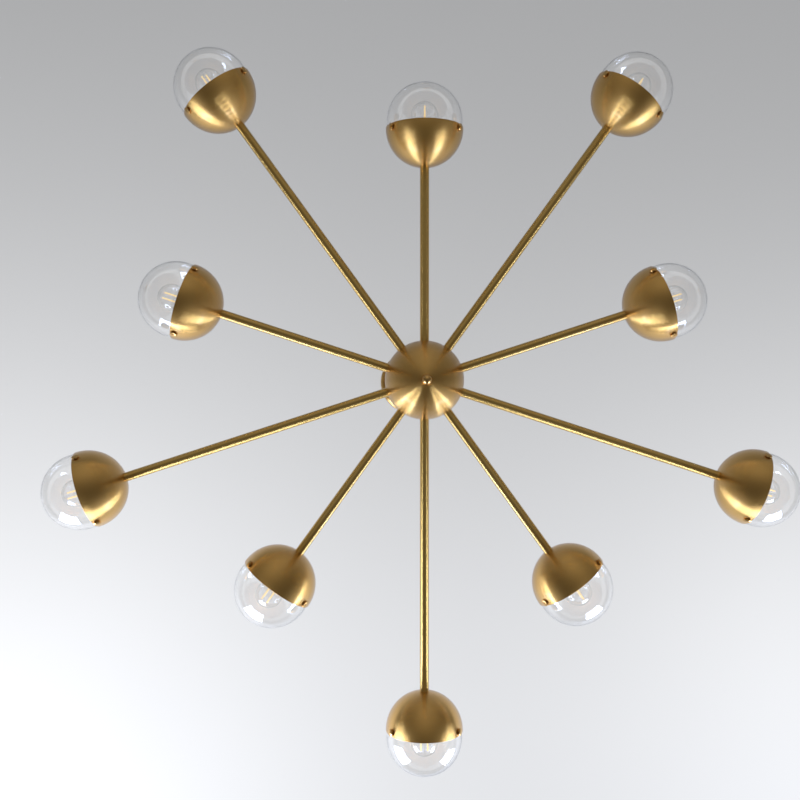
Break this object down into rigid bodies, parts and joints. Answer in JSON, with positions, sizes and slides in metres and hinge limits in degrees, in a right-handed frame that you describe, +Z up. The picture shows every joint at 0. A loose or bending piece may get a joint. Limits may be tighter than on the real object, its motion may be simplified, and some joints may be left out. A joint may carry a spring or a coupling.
{
  "type": "sputnik chandelier",
  "caption": "Sputnik chandelier in satin brass: level arms round a hub ball, each with a half-ball cup, a clear glass globe and a round filament bulb.",
  "frame": {"origin": "centre of the mounting plate, on the ceiling and on the axis of the stem", "axes": "+Z up into the ceiling, +X through the two holes for the ceiling box screws, +Y along a long arm"},
  "size_m": [1.2428, 1.1881, 0.6107],
  "materials": {
    "satin_brass": "satin",
    "bright_brass": "polished",
    "clear_glass": "clear",
    "bulb_glass": "clear",
    "holder_porcelain": "glazed",
    "zinc_steel": "zinc plated",
    "green_paint": "painted",
    "lead_sheath": "plain"
  },
  "bodies": {
    "ceiling": {"mounting_plate": "zinc_steel", "canopy_cover": "satin_brass", "canopy_studs": "zinc_steel", "canopy_cap_nuts": "bright_brass", "ground_screw": "green_paint", "swivel_seat": "zinc_steel"},
    "swivel": {"swivel_ball": "satin_brass"},
    "fixture": {"stem": "satin_brass", "supply_lead": "lead_sheath", "stem_lock_nut": "zinc_steel", "hub_core": "zinc_steel", "hub_top_plate": "zinc_steel", "hub_plate_screws": "zinc_steel", "arm_leads": "lead_sheath", "lamp_holders": "holder_porcelain", "shade_screws": "bright_brass", "arm_01": "satin_brass", "arm_02": "satin_brass", "arm_03": "satin_brass", "arm_04": "satin_brass", "arm_05": "satin_brass", "arm_06": "satin_brass", "arm_07": "satin_brass", "arm_08": "satin_brass", "arm_09": "satin_brass", "arm_10": "satin_brass", "cup_01": "satin_brass", "cup_02": "satin_brass", "cup_03": "satin_brass", "cup_04": "satin_brass", "cup_05": "satin_brass", "cup_06": "satin_brass", "cup_07": "satin_brass", "cup_08": "satin_brass", "cup_09": "satin_brass", "cup_10": "satin_brass"},
    "upper_cover": {"hub_upper_shell": "satin_brass", "hub_collar": "satin_brass"},
    "lower_cover": {"hub_lower_shell": "satin_brass", "finial": "bright_brass"},
    "glass_01": {"globe_01": "clear_glass"},
    "lamp_01": {"bulb_01": "bulb_glass"},
    "glass_02": {"globe_02": "clear_glass"},
    "lamp_02": {"bulb_02": "bulb_glass"},
    "glass_03": {"globe_03": "clear_glass"},
    "lamp_03": {"bulb_03": "bulb_glass"},
    "glass_04": {"globe_04": "clear_glass"},
    "lamp_04": {"bulb_04": "bulb_glass"},
    "glass_05": {"globe_05": "clear_glass"},
    "lamp_05": {"bulb_05": "bulb_glass"},
    "glass_06": {"globe_06": "clear_glass"},
    "lamp_06": {"bulb_06": "bulb_glass"},
    "glass_07": {"globe_07": "clear_glass"},
    "lamp_07": {"bulb_07": "bulb_glass"},
    "glass_08": {"globe_08": "clear_glass"},
    "lamp_08": {"bulb_08": "bulb_glass"},
    "glass_09": {"globe_09": "clear_glass"},
    "lamp_09": {"bulb_09": "bulb_glass"},
    "glass_10": {"globe_10": "clear_glass"},
    "lamp_10": {"bulb_10": "bulb_glass"}
  },
  "joints": [
    {"name": "swivel_tilt", "type": "hinge", "parent": "ceiling", "child": "swivel", "pos_m": [0, 0, -0.017], "axis": [1, 0, 0], "range_deg": [-20, 20]},
    {"name": "fixture_turn", "type": "hinge", "parent": "swivel", "child": "fixture", "pos_m": [0, 0, -0.017], "axis": [0, 0, 1], "range_deg": [-180, 180]},
    {"name": "upper_cover_lift", "type": "slide", "parent": "fixture", "child": "upper_cover", "axis": [0, 0, 1], "range_m": [0, 0.1]},
    {"name": "lower_cover_drop", "type": "slide", "parent": "fixture", "child": "lower_cover", "axis": [0, 0, -1], "range_m": [0, 0.09]},
    {"name": "globe_01_out", "type": "slide", "parent": "fixture", "child": "glass_01", "axis": [0.9511, 0.309, 0], "range_m": [0, 0.065]},
    {"name": "bulb_01_out", "type": "slide", "parent": "fixture", "child": "lamp_01", "axis": [0.9511, 0.309, 0], "range_m": [0, 0.02]},
    {"name": "globe_02_out", "type": "slide", "parent": "fixture", "child": "glass_02", "axis": [0.5878, 0.809, 0], "range_m": [0, 0.065]},
    {"name": "bulb_02_out", "type": "slide", "parent": "fixture", "child": "lamp_02", "axis": [0.5878, 0.809, 0], "range_m": [0, 0.02]},
    {"name": "globe_03_out", "type": "slide", "parent": "fixture", "child": "glass_03", "axis": [0, 1, 0], "range_m": [0, 0.065]},
    {"name": "bulb_03_out", "type": "slide", "parent": "fixture", "child": "lamp_03", "axis": [0, 1, 0], "range_m": [0, 0.02]},
    {"name": "globe_04_out", "type": "slide", "parent": "fixture", "child": "glass_04", "axis": [-0.5878, 0.809, 0], "range_m": [0, 0.065]},
    {"name": "bulb_04_out", "type": "slide", "parent": "fixture", "child": "lamp_04", "axis": [-0.5878, 0.809, 0], "range_m": [0, 0.02]},
    {"name": "globe_05_out", "type": "slide", "parent": "fixture", "child": "glass_05", "axis": [-0.9511, 0.309, 0], "range_m": [0, 0.065]},
    {"name": "bulb_05_out", "type": "slide", "parent": "fixture", "child": "lamp_05", "axis": [-0.9511, 0.309, 0], "range_m": [0, 0.02]},
    {"name": "globe_06_out", "type": "slide", "parent": "fixture", "child": "glass_06", "axis": [-0.9511, -0.309, 0], "range_m": [0, 0.065]},
    {"name": "bulb_06_out", "type": "slide", "parent": "fixture", "child": "lamp_06", "axis": [-0.9511, -0.309, 0], "range_m": [0, 0.02]},
    {"name": "globe_07_out", "type": "slide", "parent": "fixture", "child": "glass_07", "axis": [-0.5878, -0.809, 0], "range_m": [0, 0.065]},
    {"name": "bulb_07_out", "type": "slide", "parent": "fixture", "child": "lamp_07", "axis": [-0.5878, -0.809, 0], "range_m": [0, 0.02]},
    {"name": "globe_08_out", "type": "slide", "parent": "fixture", "child": "glass_08", "axis": [0, -1, 0], "range_m": [0, 0.065]},
    {"name": "bulb_08_out", "type": "slide", "parent": "fixture", "child": "lamp_08", "axis": [0, -1, 0], "range_m": [0, 0.02]},
    {"name": "globe_09_out", "type": "slide", "parent": "fixture", "child": "glass_09", "axis": [0.5878, -0.809, 0], "range_m": [0, 0.065]},
    {"name": "bulb_09_out", "type": "slide", "parent": "fixture", "child": "lamp_09", "axis": [0.5878, -0.809, 0], "range_m": [0, 0.02]},
    {"name": "globe_10_out", "type": "slide", "parent": "fixture", "child": "glass_10", "axis": [0.9511, -0.309, 0], "range_m": [0, 0.065]},
    {"name": "bulb_10_out", "type": "slide", "parent": "fixture", "child": "lamp_10", "axis": [0.9511, -0.309, 0], "range_m": [0, 0.02]}
  ]
}
